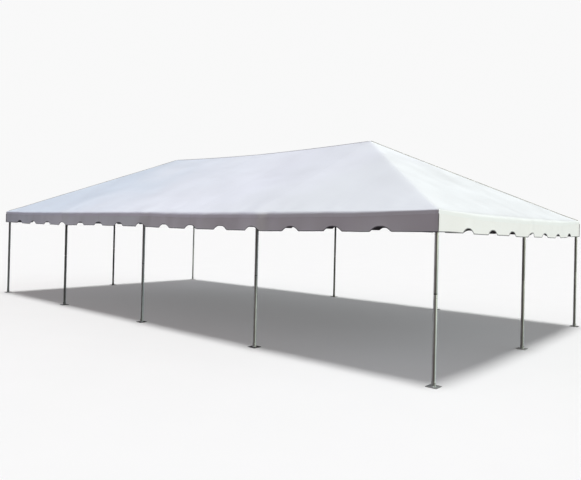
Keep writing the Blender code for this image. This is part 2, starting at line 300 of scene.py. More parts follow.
def turned(profile, start, axis, sides=40, slot=0):
    """A profile of (radius, distance) turned about an axis: start + axis * distance
    + radius * (level * cos(angle) + upright * sin(angle)). The texture is girth and profile length."""
    profile = np.asarray(profile, float)
    axis = unit(np.asarray(axis, float))
    level, upright = across(axis)
    angle = np.linspace(0, TURN, sides + 1)[None, :, None]
    radius, distance = profile[:, 0, None, None], profile[:, 1, None, None]
    points = start + axis * distance + radius * (level * np.cos(angle) + upright * np.sin(angle))
    girth = angle[..., 0] * profile[:, 0].max()
    texture = np.stack(np.broadcast_arrays(girth, run_length(profile)[:, None]), axis=-1)
    return gridded(points, texture, slot)


def torus(centre, axis, ring_radius, thickness, slot=0, ring_steps=32, sides=10):
    """A ring of round wire: centre + (ring_radius + thickness * cos(b)) * (level * cos(a) + upright * sin(a))
    + axis * thickness * sin(b)."""
    axis = unit(np.asarray(axis, float))
    level, upright = across(axis)
    a = np.linspace(0, TURN, ring_steps + 1)[None, :, None]
    b = np.linspace(0, TURN, sides + 1)[:, None, None]
    spoke = level * np.cos(a) + upright * np.sin(a)
    points = centre + (ring_radius + thickness * np.cos(b)) * spoke + axis * thickness * np.sin(b)
    texture = np.stack(np.broadcast_arrays(a[..., 0] * ring_radius, b[..., 0] * thickness), axis=-1)
    return gridded(points, texture, slot)


def carried(path, outward, profile, slot=0):
    """A closed profile of (out, down) carried along a path: path + out * outward
    + down * (tangent x outward). Both ends are closed to the path's end points."""
    tangent = unit(np.gradient(path, axis=0))
    outward = unit(outward - tangent * np.sum(outward * tangent, axis=1, keepdims=True))
    down = np.cross(tangent, outward)
    rows = np.concatenate([[0], np.arange(len(path)), [len(path) - 1]])
    reach = np.ones(len(rows))
    reach[[0, -1]] = 0
    profile = np.asarray(profile, float)
    profile = np.vstack([profile, profile[:1]])
    out, drop = profile[None, :, 0, None], profile[None, :, 1, None]
    offset = out * outward[rows][:, None] + drop * down[rows][:, None]
    points = path[rows][:, None] + offset * reach[:, None, None]
    lengths = np.broadcast_arrays(run_length(path)[rows][:, None], run_length(profile)[None, :])
    return gridded(points, np.stack(lengths, axis=-1), slot)


def rounded_slab(centre, side, corner, edge, bottom, top, slot=0):
    """A square plate: rings of a square outline with round corners, from the middle of its underside, round
    its eased edge, to the middle of its top. A ring inset by i has corner radius less i."""
    steps = 7
    quarter = np.linspace(0, TURN / 4, steps)
    angle = np.concatenate([quarter + turn * TURN / 4 for turn in range(4)] + [[TURN]])
    corners = np.array(((1, 1), (-1, 1), (-1, -1), (1, -1), (1, 1)))
    inner = np.repeat(corners, (steps, steps, steps, steps, 1), axis=0) * (side / 2 - corner)
    direction = np.stack([np.cos(angle), np.sin(angle)], axis=-1)
    insets = np.array([edge, 0, 0, edge])[:, None, None]
    rings = inner[None] + (corner - insets) * direction[None]
    rings = np.concatenate([rings[:1] * 0, rings, rings[-1:] * 0])
    heights = np.array([bottom, bottom, bottom + edge, top - edge, top, top])
    points = np.concatenate([rings, np.broadcast_to(heights[:, None, None], (*rings.shape[:2], 1))], axis=-1)
    return gridded(points + np.asarray(centre), points[..., :2], slot)


# Materials
class Wiring:
    """Adds nodes to a material or a world and joins them. A value or a node's output may feed a socket."""

    def __init__(self, owner):
        owner.use_nodes = True
        self.owner, self.tree = owner, owner.node_tree

    def node(self, kind, inputs=(), **settings):
        node = self.tree.nodes.new(kind)
        for key, value in settings.items():
            setattr(node, key, value)
        for key, value in dict(inputs).items():
            self.feed(node.inputs[key], value)
        return node

    def feed(self, socket, value):
        if isinstance(value, bpy.types.NodeSocket):
            self.tree.links.new(value, socket)
        else:
            socket.default_value = value

    def shader(self, **values):
        """Feeds the sockets of the material's own shader, which are named with _ for a space."""
        for name, value in values.items():
            self.feed(self.tree.nodes["Principled BSDF"].inputs[name.replace("_", " ")], value)
        return self.owner

    def math(self, operation, *values):
        return self.node("ShaderNodeMath", dict(enumerate(values)), operation=operation).outputs[0]

    def place(self, output, scale=(1, 1, 1)):
        texture = self.node("ShaderNodeTexCoord")
        inputs = {"Vector": texture.outputs[output], "Scale": scale}
        return self.node("ShaderNodeMapping", inputs).outputs[0]

    def part(self, vector, number):
        return self.node("ShaderNodeSeparateXYZ", {"Vector": vector}).outputs[number]

    def noise(self, vector, scale, detail=2.0, roughness=0.5):
        inputs = {"Vector": vector, "Scale": scale, "Detail": detail, "Roughness": roughness}
        return self.node("ShaderNodeTexNoise", inputs).outputs["Fac"]

    def bands(self, vector, scale, direction):
        inputs = {"Vector": vector, "Scale": scale}
        return self.node("ShaderNodeTexWave", inputs, bands_direction=direction).outputs["Fac"]

    # The tarnish attribute carries weathering and painted shade.
    def tarnish(self):
        return self.node("ShaderNodeAttribute", attribute_name="tarnish").outputs["Fac"]

    def spread(self, value, low, high, start=0.0, end=1.0, ease="LINEAR"):
        """A value from low..high moved to start..end, and kept there."""
        inputs = {"Value": value, "From Min": low, "From Max": high, "To Min": start, "To Max": end}
        return self.node("ShaderNodeMapRange", inputs, interpolation_type=ease).outputs[0]

    def mix(self, factor, first, second, blend="MIX"):
        inputs = {0: factor, 6: first, 7: second}
        return self.node("ShaderNodeMix", inputs, data_type="RGBA", blend_type=blend).outputs[2]

    def over(self, colour, cover, where, share):
        """A colour with another laid over it, as a share of it where the value is 1."""
        return self.mix(self.math("MULTIPLY", where, share), colour, cover)

    def tinted(self, colour, tint, where):
        """A colour multiplied by a tint where the value is 1."""
        return self.mix(where, colour, self.mix(1.0, colour, (*tint, 1), "MULTIPLY"))

    def ramp(self, factor, stops):
        """Colours eased into each other at places from 0 to 1."""
        node = self.node("ShaderNodeValToRGB", {"Fac": factor})
        elements = node.color_ramp.elements
        while len(elements) < len(stops):
            elements.new(1.0)
        for element, (position, colour) in zip(elements, stops):
            element.position = position
            element.color = colour
        node.color_ramp.interpolation = "EASE"
        return node.outputs["Color"]

    def bump(self, height, distance, strength=1.0, normal=None):
        inputs = {"Height": height, "Distance": distance, "Strength": strength}
        if normal is not None:
            inputs["Normal"] = normal
        return self.node("ShaderNodeBump", inputs).outputs[0]


def new_material(name, colour, roughness, metallic=0.0):
    """The wiring of a new material, whose shader holds the plain values of what may vary later."""
    w = Wiring(bpy.data.materials.new(name))
    w.shader(Base_Color=(*colour, 1), Roughness=roughness, Metallic=metallic)
    return w


def shade(colour, factor):
    """A colour times a number or a tint, at most 1."""
    return (*np.minimum(1.0, np.multiply(colour, factor)), 1.0)


# Scale of the bands that make the fabric's scrim
SCRIM = 130.0


def vinyl(name, base):
    """Coated fabric: near whites that drift along the tent as painted light and shade, painted shade where it
    folds over the end rails, welded seams between strips, a fine scrim, long soft creases and a little dust."""
    w = new_material(name, base, 0.38)
    place, cloth = w.place("Object"), w.place("UV")

    length = w.part(place, 0)
    wander = w.math("MULTIPLY", w.math("SUBTRACT", w.noise(place, 0.35), 0.5), 5.0)
    drift = w.spread(w.math("ADD", length, wander), -HALF_LENGTH, HALF_LENGTH)
    # Painted light and shade: the fabric's tints along the tent.
    colour = w.ramp(drift, [(at, shade(base, tint)) for at, tint in PAINTED_LIGHT_TINTS[name]])

    strip = w.math("PINGPONG", w.part(cloth, 0), bpy.context.scene.marquee_canopy.seam_spacing / 2)
    seam = w.spread(strip, 0.010, 0.014, 1.0, 0.0)
    colour = w.over(colour, shade(base, 0.90), seam, 0.30)
    # Painted shade: the fold over each end rail is made darker.
    shaded_fold = w.spread(w.part(cloth, 1), 0.12, 0.20, 1.0, 0.0)
    at_end = w.spread(w.math("ABSOLUTE", length), HALF_LENGTH - 0.03, HALF_LENGTH + 0.03)
    colour = w.tinted(colour, (0.885, 0.885, 0.88), w.math("MULTIPLY", shaded_fold, at_end))
    dust = w.spread(w.noise(place, 2.7, 7.0, 0.62), 0.48, 0.80)
    colour = w.over(colour, shade(base, (0.82, 0.8036, 0.7708)), dust, 0.10)
    roughness = w.spread(w.noise(place, 1.6, 4.0), 0.3, 0.7, 0.33, 0.45)

    crease = w.bump(w.noise(w.place("Object", (1, 1, 0.6)), 3.2, 3.0), 0.010, 0.22)
    raised = w.bump(seam, 0.0008, 0.5, crease)
    scrim = w.math("ADD", w.bands(cloth, SCRIM, "X"), w.bands(cloth, SCRIM, "Y"))
    return w.shader(Base_Color=colour, Roughness=roughness, Normal=w.bump(scrim, 0.0001, 0.10, raised))


def lining(name, base):
    """The fabric's inner face: dark grey as painted shade inside the tent, in patches, with the scrim showing
    through it.
    """
    w = new_material(name, base, 0.62)
    patches = w.spread(w.noise(w.place("Object"), 1.1, 5.0), 0.35, 0.7)
    colour = w.mix(patches, shade(base, 1.10), shade(base, 0.82))
    scrim = w.bump(w.bands(w.place("UV"), SCRIM, "Y"), 0.0001, 0.3)
    return w.shader(Base_Color=colour, Roughness=w.spread(patches, 0.0, 1.0, 0.55, 0.70), Normal=scrim)


def tape(name, base):
    """Woven tape with fine ribs across it, worn lighter in patches."""
    w = new_material(name, base, 0.75)
    wear = w.spread(w.noise(w.place("Object"), 9.0, 5.0), 0.35, 0.75)
    ribs = w.bump(w.bands(w.place("UV"), 80.0, "X"), 0.0004, 0.5)
    return w.shader(Base_Color=w.mix(wear, shade(base, 0.85), shade(base, 1.3)), Normal=ribs)


def aluminium(name, base):
    """Mill-finish tube: fine streaks along it, a dull bloom in patches and a few darker scuffs. A piece whose
    points carry tarnish and painted shade is as much darker and rougher."""
    w = new_material(name, base, 0.38, 0.80)
    streaks = w.noise(w.place("UV", (420.0, 5.0, 1.0)), 1.0, 3.0)
    bloom = w.spread(w.noise(w.place("Object"), 5.0, 5.0, 0.6), 0.35, 0.7)
    scuffs = w.spread(w.noise(w.place("UV", (60.0, 14.0, 1.0)), 1.0, 6.0, 0.7), 0.62, 0.78)
    tarnish = w.tarnish()
    colour = w.mix(bloom, shade(base, 1.06), shade(base, 0.86))
    colour = w.over(colour, shade(base, 0.45), scuffs, 0.45)
    # Darker by the tarnish, which is partly painted shade.
    colour = w.tinted(colour, (0.30, 0.29, 0.28), tarnish)
    rough = w.math("ADD", w.spread(streaks, 0.3, 0.7, 0.30, 0.40), w.math("MULTIPLY", bloom, 0.10))
    rough = w.math("ADD", rough, w.math("MULTIPLY", tarnish, 0.30))
    return w.shader(Base_Color=colour, Roughness=rough, Normal=w.bump(streaks, 0.0001, 0.25))


def zinced(name, base):
    """Hot-dipped zinc: a faint spangle, dull grey patches and a slightly uneven skin."""
    w = new_material(name, base, 0.45, 0.8)
    place = w.place("Object")
    spangle = w.node("ShaderNodeTexVoronoi", {"Vector": place, "Scale": 90.0}).outputs["Color"]
    grey = w.part(spangle, 0)
    dull = w.spread(w.noise(place, 14.0, 6.0, 0.6), 0.35, 0.7)
    colour = w.over(shade(base, 1.05), shade(base, 0.78), grey, 0.35)
    colour = w.over(colour, shade(base, 0.62), dull, 0.5)
    roughness = w.spread(w.math("ADD", dull, grey), 0.0, 2.0, 0.36, 0.58)
    skin = w.bump(w.noise(place, 60.0, 4.0), 0.0006, 0.35)
    return w.shader(Base_Color=colour, Roughness=roughness, Normal=skin)


def plate_steel(name, base):
    """Steel of the base plates, bare grey or, as far as its points carry tarnish and painted shade, dark,
    with rust and dust in patches."""
    w = new_material(name, base, 0.6, 0.25)
    place = w.place("Object")
    rust = w.spread(w.noise(place, 24.0, 7.0, 0.65), 0.56, 0.72)
    dust = w.spread(w.noise(place, 9.0, 5.0), 0.45, 0.75)
    # Dark by the tarnish, which is partly painted shade.
    colour = w.mix(w.tarnish(), (0.36, 0.36, 0.35, 1), (*base, 1))
    colour = w.over(colour, (0.11, 0.055, 0.032, 1), rust, 0.6)
    colour = w.over(colour, (0.16, 0.155, 0.145, 1), dust, 0.25)
    pits = w.bump(w.noise(place, 120.0, 5.0), 0.0007, 0.5)
    return w.shader(Base_Color=colour, Roughness=w.spread(dust, 0.0, 1.0, 0.5, 0.8), Normal=pits)


# Every material: what makes it, and the settings that hold its colour
MATERIALS = {
    "roof_vinyl": (vinyl, "marquee_canopy", "roof_colour"),
    "valance_vinyl": (vinyl, "marquee_canopy", "valance_colour"),
    "grey_lining": (lining, "marquee_canopy", "lining_shade_colour"),
    "binding_tape": (tape, "marquee_canopy", "binding_colour"),
    "seam_tape": (tape, "marquee_canopy", "seam_colour"),
    "aluminium_tube": (aluminium, "marquee_frame", "aluminium_colour"),
    "zinced_steel": (zinced, "marquee_frame", "steel_colour"),
    "dark_plate": (plate_steel, "marquee_frame", "plate_colour"),
}


def made(name):
    """A material, made when the first piece needs it."""
    maker, group, setting = MATERIALS[name]
    base = tuple(getattr(getattr(bpy.context.scene, group), setting))
    return bpy.data.materials.get(name) or maker(name, base)


# Shape of the canopy. Each wavy line has its own seed, to which a side adds its quarter turns
FOLD_SEED, PUCKER_SEED, EDGE_SEED, SWING_SEED = 31, 5, 11, 21


def half_length(side):
    """Half the side's length along the eave."""
    return HALF_LENGTH if side in LONG_SIDES else HALF_WIDTH


def stand(side, along, outward, height):
    """Places on a side: turned by quarter turns from the front, where along is +X and outward is -Y."""
    reach = (HALF_WIDTH if side in LONG_SIDES else HALF_LENGTH) + outward
    angle = SIDES[side] * TURN / 4
    c, s = round(math.cos(angle)), round(math.sin(angle))
    along, reach, height = np.broadcast_arrays(along, reach, height)
    return np.stack([c * along + s * reach, s * along - c * reach, height], axis=-1)


def bell(distance, width):
    return np.exp(-((distance / width) ** 2))


def ripples(side, along, seed, wavelengths):
    """A wavy line between -1 and 1: the mean of sines of the given wavelengths with seeded phases."""
    phases = np.random.default_rng(SIDES[side] + seed).uniform(0, TURN, len(wavelengths))
    waves = [np.sin(TURN * along / length + phase) for length, phase in zip(wavelengths, phases)]
    return np.mean(waves, axis=0)


def at_half_bays(table, side, along):
    """A value along a side, eased between those that the table gives at every half bay."""
    values = np.array(table[side])
    place = np.clip((along + half_length(side)) / (BAY / 2), 0, len(values) - 1.001)
    left = place.astype(int)
    t = place - left
    t = t * t * (3 - 2 * t)
    return values[left] * (1 - t) + values[left + 1] * t


def held(along):
    """How much the nearest fitting lifts the fabric, along an eave: 1 over a fitting, and 0 far from it."""
    return bell(along - BAY * np.round(along / BAY), 0.19)


def rail_standoff(along):
    """The fabric's distance from the eave rail's centreline, which is less between two fittings."""
    canopy = bpy.context.scene.marquee_canopy
    return canopy.tight + (canopy.standoff - canopy.tight) * held(along)


def eave_fold(side, along):
    """Where the fabric folds over the eave rail. It stands off the rail and bulges outward where it is slack,
    a little unevenly. Returns the fold's radius and the place of its centre, outward and up from the rail's
    centreline: the circle that touches both the slope's plane and the valance's upright plane."""
    tightest, softer, softest = 0.016, 0.045, 0.075
    unevenness, over_fitting = 0.12, 0.018
    slack = at_half_bays(SLACK, side, along)
    standoff = rail_standoff(along)
    uneven = 1 + unevenness * ripples(side, along, FOLD_SEED, (0.34, 0.58, 1.10))
    bulge = slack * (bpy.context.scene.marquee_canopy.bulge * uneven + over_fitting * held(along))
    radius = np.minimum(tightest + softer * slack, softest)
    centre_out = standoff + bulge - radius
    centre_up = ((standoff - radius) - centre_out * math.sin(PITCH)) / math.cos(PITCH)
    return radius, centre_out, centre_up


def ring_pull():
    """How much nearer to the tent's middle a ring of the ends is drawn, so that the ridge's ends reach over
    the crown fittings: the share of its distance from the rail that is left."""
    return 1 - bpy.context.scene.marquee_canopy.overreach / HALF_WIDTH


def slope_place(side, t, inward):
    """Place on the plan, along and outward, of a point of a slope. Inward is how far its ring, parallel to
    the eave, lies inside the rails; t runs from -1 to 1 between the ring's two hips."""
    drawn = np.where(inward > 0, inward * ring_pull(), inward)
    along_inset, outward_inset = (drawn, inward) if side in LONG_SIDES else (inward, drawn)
    return np.broadcast_arrays(t * (half_length(side) - along_inset), -outward_inset)


def bay_sag(side, along, reach, up):
    """Sag between rafters: sin(across)^2 * sin(up)^0.8, where across runs over the space between two rafters,
    or a rafter and a hip, and up over the slope. It grows with the space's width to the power of 1.5, and the
    ends have half of it."""
    inner_width, share = (BAY, 1.0) if side in LONG_SIDES else (0.0, 0.5)
    inner = np.abs(along) < inner_width
    width = np.maximum(np.where(inner, inner_width, reach - inner_width), 1e-6)
    over = np.clip((np.abs(along) - np.where(inner, 0, inner_width)) / width, 0, 1)
    return share * np.sin(math.pi * over) ** 2 * np.sin(math.pi * up) ** 0.8 * (width / BAY) ** 1.5


def rounding(distance, reach, slope):
    """How far a fold is lowered at a distance from it: slope * (reach - distance)^2 / (2 * reach), a parabola
    that leaves the slope smoothly at its reach."""
    return slope * np.maximum(reach - distance, 0) ** 2 / (2 * reach)


def wrinkles(side, along, to_hip, above):
    """Small puckers just above the eave and folds that fan out from the corners, about -1 to 1. None crosses
    a hip."""
    band, band_width, folds = 0.12, 0.16, 14
    fan_radius, fan_width, fan_share = 0.35, 0.30, 0.6
    waves = ripples(side, along, PUCKER_SEED, (0.31, 0.47, 0.83))
    pucker = waves * bell(above - band, band_width) * np.clip(above / 0.05, 0, 1)
    fan = np.sin(np.arctan2(above, to_hip + 1e-6) * folds)
    fan = fan * bell(np.hypot(to_hip, above) - fan_radius, fan_width)
    return (pucker + fan_share * fan) * (1 - bell(to_hip, 0.12))


def slope_height(side, t, inward):
    """Height of the fabric's outer face at a point of a slope: the plane that stands off the frame, less
    the ridge's dip, the sag of slopes and bays, and the rounding of hips and ridge, plus small wrinkles."""
    rail_reach, hip_reach, fitting_reach, ridge_round = 0.35, 0.70, 0.45, 0.016
    canopy = bpy.context.scene.marquee_canopy
    along, reach = slope_place(side, t, inward)[0], slope_place(side, 1.0, inward)[0]
    up, above = np.clip(inward / HALF_WIDTH, 0, 1), np.maximum(inward, 0)
    to_hip = np.maximum(reach - np.abs(along), 0)
    to_ridge = np.maximum(HALF_WIDTH - inward, 0)

    standoff = rail_standoff(along)
    standoff = standoff + (canopy.standoff - standoff) * (1 - bell(above, rail_reach))
    height = EAVE_LINE + inward * math.tan(PITCH) + standoff / math.cos(PITCH)
    if side in LONG_SIDES:
        part, curve = np.clip(np.abs(along) / RIDGE_HALF, 0, 1), canopy.ridge_curve
        height = height - RIDGE_SAG * up * ((1 - curve) * (1 - part) + curve * (1 - part ** 2))
    height = height - canopy.sag * np.sin(math.pi * up) * (1 - 0.75 * bell(to_hip, hip_reach))
    height = height - canopy.billow * bay_sag(side, along, reach, up)

    from_fittings = np.clip(np.minimum(above, HALF_WIDTH - inward) / fitting_reach, 0, 1)
    height = height - rounding(to_hip, canopy.hip_round * (0.55 + 0.45 * from_fittings), math.tan(PITCH) / 2)
    height = height - rounding(to_ridge, ridge_round, math.tan(PITCH))
    return height + canopy.wrinkle * wrinkles(side, along, to_hip, above)


def outer_places(half, spacing, near_hip):
    """Columns from -1 to 1 along a side: evenly spaced, with more close to each hip."""
    even = np.linspace(-1, 1, 2 * round(half / spacing) + 1)
    even = even[np.abs(even) < 1 - (near_hip[-1] + spacing / 2) / half]
    close = 1 - np.array(near_hip) / half
    return np.concatenate([-close, even, close[::-1]])


def roof_side(side):
    """One slope with its fold over the rail and its lap, whose edge is tucked behind the valance: rings that
    run parallel to the eave, each as long as the slope is there, so that slopes share their hip points."""
    column_step, row_step, fold_rows = 0.06, 0.068, 8
    half = half_length(side)
    t = outer_places(half, column_step, (0, 0.008, 0.016, 0.024, 0.045))[None, :]
    radius, centre_out, centre_up = eave_fold(side, t * half)

    lap = bpy.context.scene.marquee_canopy.lap * np.array([1.35, 1.06, 1.0, 0.97, 0.5, 0.2])[:, None]
    behind = np.array([0.003, 0.0025, 0, 0, 0, 0])[:, None]
    lap_out = centre_out + radius - behind
    lap_height = EAVE_LINE + centre_up - lap
    angle = np.linspace(TURN / 4, PITCH, fold_rows)[:, None]
    fold_out = centre_out + radius * np.sin(angle)
    fold_height = EAVE_LINE + centre_up + radius * np.cos(angle)

    eave_rows = np.array([0.012, 0.035, 0.07, 0.11])
    even_rows = np.arange(0.16, HALF_WIDTH - 0.06, row_step)
    ridge_rows = HALF_WIDTH - np.array([0.03, 0.016, 0.008, 0.003, 0])
    inward = np.concatenate([eave_rows, even_rows, ridge_rows])[:, None]
    lowest = -(centre_out + radius * math.sin(PITCH))
    inward = lowest + (HALF_WIDTH - lowest) * inward / HALF_WIDTH
    slope_along, slope_out = slope_place(side, t, inward)

    height = np.concatenate([lap_height, fold_height, slope_height(side, t, inward)])
    outward = np.concatenate([lap_out, fold_out, slope_out])
    along = np.concatenate([t * (half + lap_out), t * (half + fold_out), slope_along])
    points = stand(side, along, outward, height)
    steps = np.linalg.norm(np.diff(points, axis=0), axis=-1)
    climb = np.concatenate([np.zeros((1, t.size)), np.cumsum(steps, axis=0)])
    return gridded(points, np.stack([along, climb], axis=-1))


def sheet_piece(name, surfaces, outer, *nodes):
    """A sheet of fabric: its outer face, thickened inward, with the dark lining of painted shade on the inner
    face.
    """
    piece = tent_piece(name, surfaces, (outer, "grey_lining"), "canopy_vinyl", *nodes, sharp=60)
    shell = piece.modifiers.new("fabric", "SOLIDIFY")
    shell.thickness = bpy.context.scene.marquee_canopy.thickness
    shell.offset = -1
    shell.material_offset = 1
    shell.use_even_offset = True
    return piece


def roof():
    """The whole roof as one sheet of fabric."""
    canopy_nodes = [f"canopy_{side}" for side in ("front", "back", "left", "right")]
    piece = sheet_piece("canopy_roof", [roof_side(side) for side in SIDES], "roof_vinyl", *canopy_nodes)


def standing_seam():
    """The seam that joins the two halves of the roof: a thin fin on a wider foot, up the front left hip,
    along the ridge and down the back right hip. The other two hips are welded flat."""
    canopy = bpy.context.scene.marquee_canopy
    foot, fin, steps = 0.009, 0.0018, 120
    up_hip = np.full(steps, -1.0), np.linspace(HALF_WIDTH, -0.02, steps)
    along_ridge = np.linspace(-1, 1, steps), np.full(steps, HALF_WIDTH)
    surfaces = []
    for side, (t, inward), rise in (("front", along_ridge, canopy.ridge_seam_height),
                                    ("front", up_hip, 0.8 * canopy.seam_height),
                                    ("back", up_hip, 1.2 * canopy.seam_height)):
        half = [(foot, 0.001), (foot, -0.0006), (fin, -0.0012), (fin, 0.001 - rise)]
        path = stand(side, *slope_place(side, t, inward), slope_height(side, t, inward))
        sideways = np.cross(unit((path[-1] - path[0]) * (1, 1, 0)), (0.0, 0.0, 1.0))
        profile = [*half, (0, -rise), *mirrored(half)]
        surfaces.append(carried(path, np.broadcast_to(sideways, path.shape), profile))
    tent_piece("canopy_standing_seam", surfaces, ["seam_tape"], "canopy_vinyl", sharp=35)


def patch(centre, radius, sides=40, rings=7):
    """A round reinforcement welded on the fabric: a disc of polar rings that stands 1.8 mm above the roof,
    with an eased edge and its underside sunk into the fabric."""
    spread = np.concatenate([np.linspace(0, 1, rings), [1.012, 1.004, 0]])[:, None] * radius
    lift = np.concatenate([np.full(rings, 0.0018), [0.0012, -0.002, -0.002]])[:, None]
    angle = np.linspace(0, TURN, sides + 1)[None, :]
    x, y = centre[0] + spread * np.cos(angle), centre[1] + spread * np.sin(angle)
    points = np.stack([x, y, roof_over(x, y) + lift], axis=-1)
    return gridded(points[::-1], points[::-1][..., :2])


def roof_over(x, y):
    """Height of the roof over any place on the plan, on the long or the short slope that covers it."""
    long_ring, short_ring = HALF_WIDTH - np.abs(y), (HALF_LENGTH - np.abs(x)) / ring_pull()
    long_t = x / (HALF_LENGTH - long_ring * ring_pull())
    short_t = y / np.maximum(HALF_WIDTH - short_ring, 1e-6)
    long_height = slope_height("front", np.clip(long_t, -1, 1), long_ring)
    short_height = slope_height("right", np.clip(short_t, -1, 1), short_ring)
    return np.where(long_ring <= short_ring, long_height, short_height)


# Valances
def lower_edge(side, along):
    """Height of the valance's lower edge: level scallops with a bell-shaped notch between each two, none at
    the corners, cut and hung a little unevenly. A notch's height is (1 - a^2.6)^1.25, where a is the distance
    from its middle as a part of its half width: a broad round top on a soft foot."""
    drop, unevenness = 0.012, 0.003
    canopy = bpy.context.scene.marquee_canopy
    middle = np.round(along / canopy.scallop) * canopy.scallop
    away = np.abs(along - middle) / (canopy.notch_width / 2)
    notch = np.clip(1 - away ** 2.6, 0, 1) ** 1.25
    notch = np.where(np.abs(middle) > half_length(side) - canopy.scallop / 2, 0, notch)
    cut = unevenness * ripples(side, along, EDGE_SEED, (0.9, 1.7, 2.9)) - at_half_bays(HANG, side, along)
    return VALANCE_BOTTOM - drop + canopy.notch_depth * notch + cut


def valance_places(side, t, depth):
    """Points of a valance: t runs along it from -1 to 1, and depth down it, from 0 at its upper edge, flush
    with the roof's lap, to 1 at its lower edge. It swings out a little in slow waves that grow downwards."""
    clear, swing, wave_height, corner_reach = 0.0002, 0.007, 0.008, 0.25
    half = half_length(side)
    radius, centre_out, centre_up = eave_fold(side, t * half)
    lapped = centre_out + radius + clear
    free = 1 - bell(half * (1 - np.abs(t)), corner_reach)
    waves = wave_height * ripples(side, t * half, SWING_SEED, (0.762, 1.13, 2.1))
    along = t * (half + lapped)
    top = EAVE_LINE + centre_up - bpy.context.scene.marquee_canopy.lap
    height = top + (lower_edge(side, along) - top) * depth
    return np.broadcast_arrays(along, lapped + depth ** 1.4 * (swing + waves) * free, height)


def valance_columns(side):
    column_step = 0.009
    return np.linspace(-1, 1, 2 * round(half_length(side) / column_step) + 1)


def valance(side):
    """One side's valance as a sheet of its own, sewn over the roof's lap and hanging from it."""
    depth = np.concatenate([[1, 0.995], np.linspace(0.95, 0.05, 10), [0.005, 0]])[:, None]
    along, outward, height = valance_places(side, valance_columns(side)[None, :], depth)
    surface = gridded(stand(side, along, outward, height), np.stack([along, height], axis=-1))
    piece = sheet_piece(f"valance_{side}", [surface], "valance_vinyl")


def tape_piece(name, path, outward, profile):
    surface = carried(path, np.broadcast_to(outward, path.shape), profile)
    tent_piece(name, [surface], ["binding_tape"], "canopy_vinyl", sharp=50)


def binding(side):
    """Tape folded over the valance's lower edge: a flat rounded profile carried along the edge."""
    canopy = bpy.context.scene.marquee_canopy
    t = valance_columns(side)
    along, outward, height = valance_places(side, t, np.ones(t.shape))
    path = stand(side, along, outward - canopy.thickness / 2, height)
    out = stand(side, 0.0, 1.0, 0.0) - stand(side, 0.0, 0.0, 0.0)
    thick, rise = 0.0022, canopy.binding
    half = [(thick, 0.001 - rise), (thick, 0.0005), (thick * 0.5, 0.0018)]
    profile = [*half, *mirrored(half), (-thick * 0.6, -rise), (thick * 0.6, -rise)]
    tape_piece(f"valance_binding_{side}", path, out, profile)


def corner_tape(side):
    """Tape sewn over the corner where this side's valance meets the next one: a flat oval profile carried
    down the corner, its short way facing outward. The front right corner has a finer one."""
    thick, wide = (0.0032, 0.0065) if side == "front" else (0.0060, 0.0100)
    depth = np.linspace(0, 1, 14)
    path = stand(side, *valance_places(side, np.ones(depth.shape), depth))
    out = unit(stand(side, 1.0, 1.0, 0.0) - stand(side, 0.0, 0.0, 0.0))
    angle = np.linspace(0, TURN, 12, endpoint=False)
    profile = np.column_stack([thick * np.cos(angle), wide * np.sin(angle)])
    tape_piece(f"valance_corner_tape_{SIDES[side] + 1}", path, out, profile)


# Frame joints, and the tubes between them
def frame_joints():
    """Where the frame's centrelines meet, by the name of the fitting there."""
    joints = {}
    for number, (where, x) in enumerate((("left", -BAY), ("middle", 0.0), ("right", BAY)), start=2):
        ridge = RIDGE_LINE - (0 if x else RIDGE_SAG)
        joints[f"crown_fitting_{where}"] = np.array((x, 0.0, ridge))
        for face, y in (("front", -BAY), ("back", BAY)):
            joints[f"side_fitting_{face}_{number}"] = np.array((x, y, EAVE_LINE))
    for end, x in (("left", -2 * BAY), ("right", 2 * BAY)):
        joints[f"end_fitting_{end}"] = np.array((x, 0.0, EAVE_LINE))
        for face, y in (("front", -BAY), ("back", BAY)):
            joints[f"corner_fitting_{face}_{end}"] = np.array((x, y, EAVE_LINE))
    return joints


def tube_ends():
    """Every tube by its node's name, with the names of the fittings that it runs between."""
    ends = {}
    for face in ("front", "back"):
        row = [f"side_fitting_{face}_{number}" for number in (2, 3, 4)]
        row = [f"corner_fitting_{face}_left", *row, f"corner_fitting_{face}_right"]
        for number, pair in enumerate(zip(row, row[1:]), start=1):
            ends[f"eave_rail_{face}_{number}"] = pair
        for number, where in enumerate(("left", "middle", "right"), start=2):
            ends[f"rafter_{face}_{number}"] = row[number - 1], f"crown_fitting_{where}"
    for end in ("left", "right"):
        crown, middle = f"crown_fitting_{end}", f"end_fitting_{end}"
        ends[f"eave_rail_{end}_front"] = f"corner_fitting_front_{end}", middle
        ends[f"eave_rail_{end}_back"] = middle, f"corner_fitting_back_{end}"
        ends[f"hip_rafter_front_{end}"] = f"corner_fitting_front_{end}", crown
        ends[f"hip_rafter_back_{end}"] = f"corner_fitting_back_{end}", crown
        ends[f"end_rafter_{end}"] = middle, crown
        ends[f"ridge_tube_{end}"] = "crown_fitting_middle", crown
    return ends


def frame_tubes():
    """Round tubes with eased ends, from the end of one socket's bore to the next."""
    inset = bpy.context.scene.marquee_frame.bore_start
    joints = frame_joints()
    for node, (start, end) in tube_ends().items():
        gap = joints[end] - joints[start]
        profile = rod(TUBE_RADIUS, 0, float(np.linalg.norm(gap)) - 2 * inset, 0.0012)
        surface = turned(profile, joints[start] + unit(gap) * inset, gap)
        tent_piece(f"{node}_tube", [surface], ["aluminium_tube"], "tube", node)


